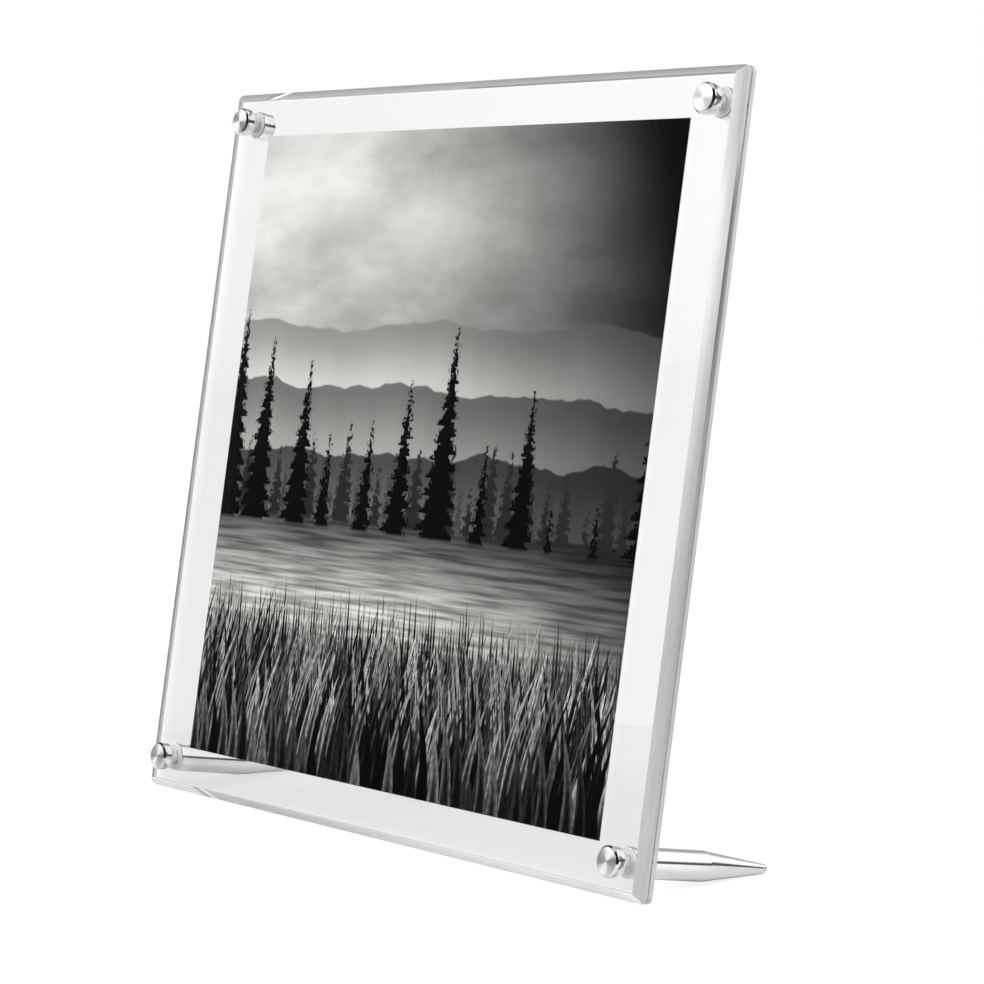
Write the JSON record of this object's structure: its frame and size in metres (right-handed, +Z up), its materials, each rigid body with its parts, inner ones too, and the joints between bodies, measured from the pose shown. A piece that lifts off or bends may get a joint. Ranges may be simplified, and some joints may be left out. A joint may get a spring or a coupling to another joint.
{
  "type": "acrylic tabletop frame",
  "caption": "Clear acrylic tabletop frame: a bevelled front panel and a flat back panel clamp a print under capped corner studs, leaning back on tapered metal legs.",
  "frame": {"origin": "on the table, at the middle of the footprint", "axes": "+X to the viewer's right along the width, -Y towards the viewer, +Y back along the legs, +Z up"},
  "size_m": [0.3048, 0.0772, 0.2865],
  "materials": {
    "acrylic": "clear cast acrylic, polished edges",
    "print": "black and white photographic paper, semi-gloss",
    "cap_metal": "turned, circular-brushed face, polished rim",
    "leg_metal": "turned and polished",
    "stud_metal": "plain threaded rod",
    "washer": "clear vinyl"
  },
  "bodies": {
    "frame": {"back_panel": "acrylic", "photo_print": "print", "back_washer_top_left": "washer", "back_washer_top_right": "washer", "back_washer_bottom_left": "washer", "back_washer_bottom_right": "washer", "back_nut_top_left": "leg_metal", "back_nut_top_right": "leg_metal", "leg_left": "leg_metal", "leg_right": "leg_metal"},
    "front_panel": {"front_panel": "acrylic"},
    "travel_top_left": {"front_washer_top_left": "washer"},
    "cap_top_left": {"cap_top_left": "cap_metal", "stud_top_left": "stud_metal"},
    "travel_top_right": {"front_washer_top_right": "washer"},
    "cap_top_right": {"cap_top_right": "cap_metal", "stud_top_right": "stud_metal"},
    "travel_bottom_left": {"front_washer_bottom_left": "washer"},
    "cap_bottom_left": {"cap_bottom_left": "cap_metal", "stud_bottom_left": "stud_metal"},
    "travel_bottom_right": {"front_washer_bottom_right": "washer"},
    "cap_bottom_right": {"cap_bottom_right": "cap_metal", "stud_bottom_right": "stud_metal"}
  },
  "joints": [
    {"name": "front_panel_draw", "type": "slide", "parent": "frame", "child": "front_panel", "axis": [0, -0.9858, 0.168], "range_m": [0, 0.004]},
    {"name": "cap_travel_top_left", "type": "slide", "parent": "front_panel", "child": "travel_top_left", "axis": [0, -0.9858, 0.168], "range_m": [0, 0.004]},
    {"name": "cap_turn_top_left", "type": "hinge", "parent": "travel_top_left", "child": "cap_top_left", "pos_m": [-0.1397, 0.01151, 0.27453], "axis": [0, -0.9858, 0.168], "range_deg": [0, 1800]},
    {"name": "cap_travel_top_right", "type": "slide", "parent": "front_panel", "child": "travel_top_right", "axis": [0, -0.9858, 0.168], "range_m": [0, 0.004]},
    {"name": "cap_turn_top_right", "type": "hinge", "parent": "travel_top_right", "child": "cap_top_right", "pos_m": [0.1397, 0.01151, 0.27453], "axis": [0, -0.9858, 0.168], "range_deg": [0, 1800]},
    {"name": "cap_travel_bottom_left", "type": "slide", "parent": "front_panel", "child": "travel_bottom_left", "axis": [0, -0.9858, 0.168], "range_m": [0, 0.004]},
    {"name": "cap_turn_bottom_left", "type": "hinge", "parent": "travel_bottom_left", "child": "cap_bottom_left", "pos_m": [-0.1397, -0.03295, 0.01369], "axis": [0, -0.9858, 0.168], "range_deg": [0, 1800]},
    {"name": "cap_travel_bottom_right", "type": "slide", "parent": "front_panel", "child": "travel_bottom_right", "axis": [0, -0.9858, 0.168], "range_m": [0, 0.004]},
    {"name": "cap_turn_bottom_right", "type": "hinge", "parent": "travel_bottom_right", "child": "cap_bottom_right", "pos_m": [0.1397, -0.03295, 0.01369], "axis": [0, -0.9858, 0.168], "range_deg": [0, 1800]}
  ],
  "couplings": [
    {"joint": "cap_turn_top_left", "follows": "cap_travel_top_left", "rad_per_m": 7853.9},
    {"joint": "cap_turn_top_right", "follows": "cap_travel_top_right", "rad_per_m": 7853.9},
    {"joint": "cap_turn_bottom_left", "follows": "cap_travel_bottom_left", "rad_per_m": 7853.9},
    {"joint": "cap_turn_bottom_right", "follows": "cap_travel_bottom_right", "rad_per_m": 7853.9}
  ]
}
